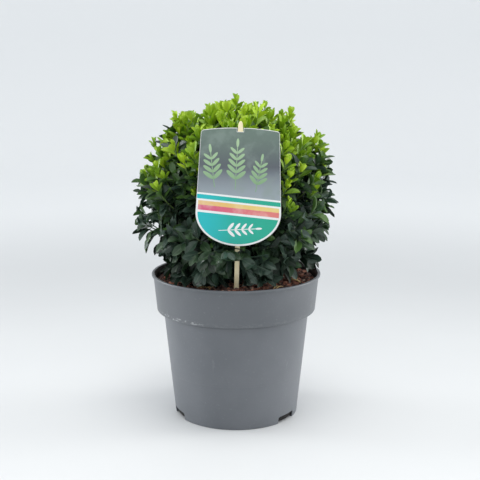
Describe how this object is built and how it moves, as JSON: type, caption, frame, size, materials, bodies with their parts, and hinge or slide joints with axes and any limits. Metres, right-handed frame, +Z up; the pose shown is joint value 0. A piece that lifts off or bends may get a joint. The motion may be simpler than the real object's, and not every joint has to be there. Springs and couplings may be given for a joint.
{
  "type": "potted euonymus",
  "caption": "Clipped ball of evergreen euonymus in a stepped nursery pot, with a plant label on a wooden splint; stands on the pot's flat underside.",
  "frame": {"origin": "middle of the pot's flat underside", "axes": "+Z up the plant, -Y towards the side that carries the label, +X to the right of someone who faces the label"},
  "size_m": [0.2253, 0.2143, 0.3547],
  "materials": {
    "pot_plastic": "moulded grey polypropylene with a soft sheen, faint moulding lines and a few pale scuffs",
    "potting_mix": "damp reddish-brown bark chips and peat, rough and uneven",
    "bark": "grey-brown bark with fine ridges, greener on the young wood",
    "old_leaves": "dark leathery leaves with a waxy gloss and a paler rib",
    "young_leaves": "soft yellow-green new leaves with a light gloss",
    "splint_wood": "plain pale split wood, dry and unsealed",
    "label_card": "thin printed plastic card, smooth and glossy"
  },
  "bodies": {
    "root": {"pot": "pot_plastic", "potting_mix": "potting_mix", "trunk": "bark", "label_splint": "splint_wood", "label_card": "label_card", "lower_bough_1": "bark", "lower_bough_2": "bark", "lower_bough_3": "bark", "lower_bough_4": "bark", "lower_bough_5": "bark", "upper_bough_1": "bark", "upper_bough_2": "bark", "upper_bough_3": "bark", "upper_bough_4": "bark", "upper_bough_5": "bark", "lower_foliage_1": "old_leaves", "lower_foliage_2": "old_leaves", "lower_foliage_3": "old_leaves", "lower_foliage_4": "old_leaves", "lower_foliage_5": "old_leaves", "upper_foliage_1": "young_leaves", "upper_foliage_2": "young_leaves", "upper_foliage_3": "young_leaves", "upper_foliage_4": "young_leaves", "upper_foliage_5": "young_leaves", "top_foliage": "young_leaves"}
  },
  "joints": []
}
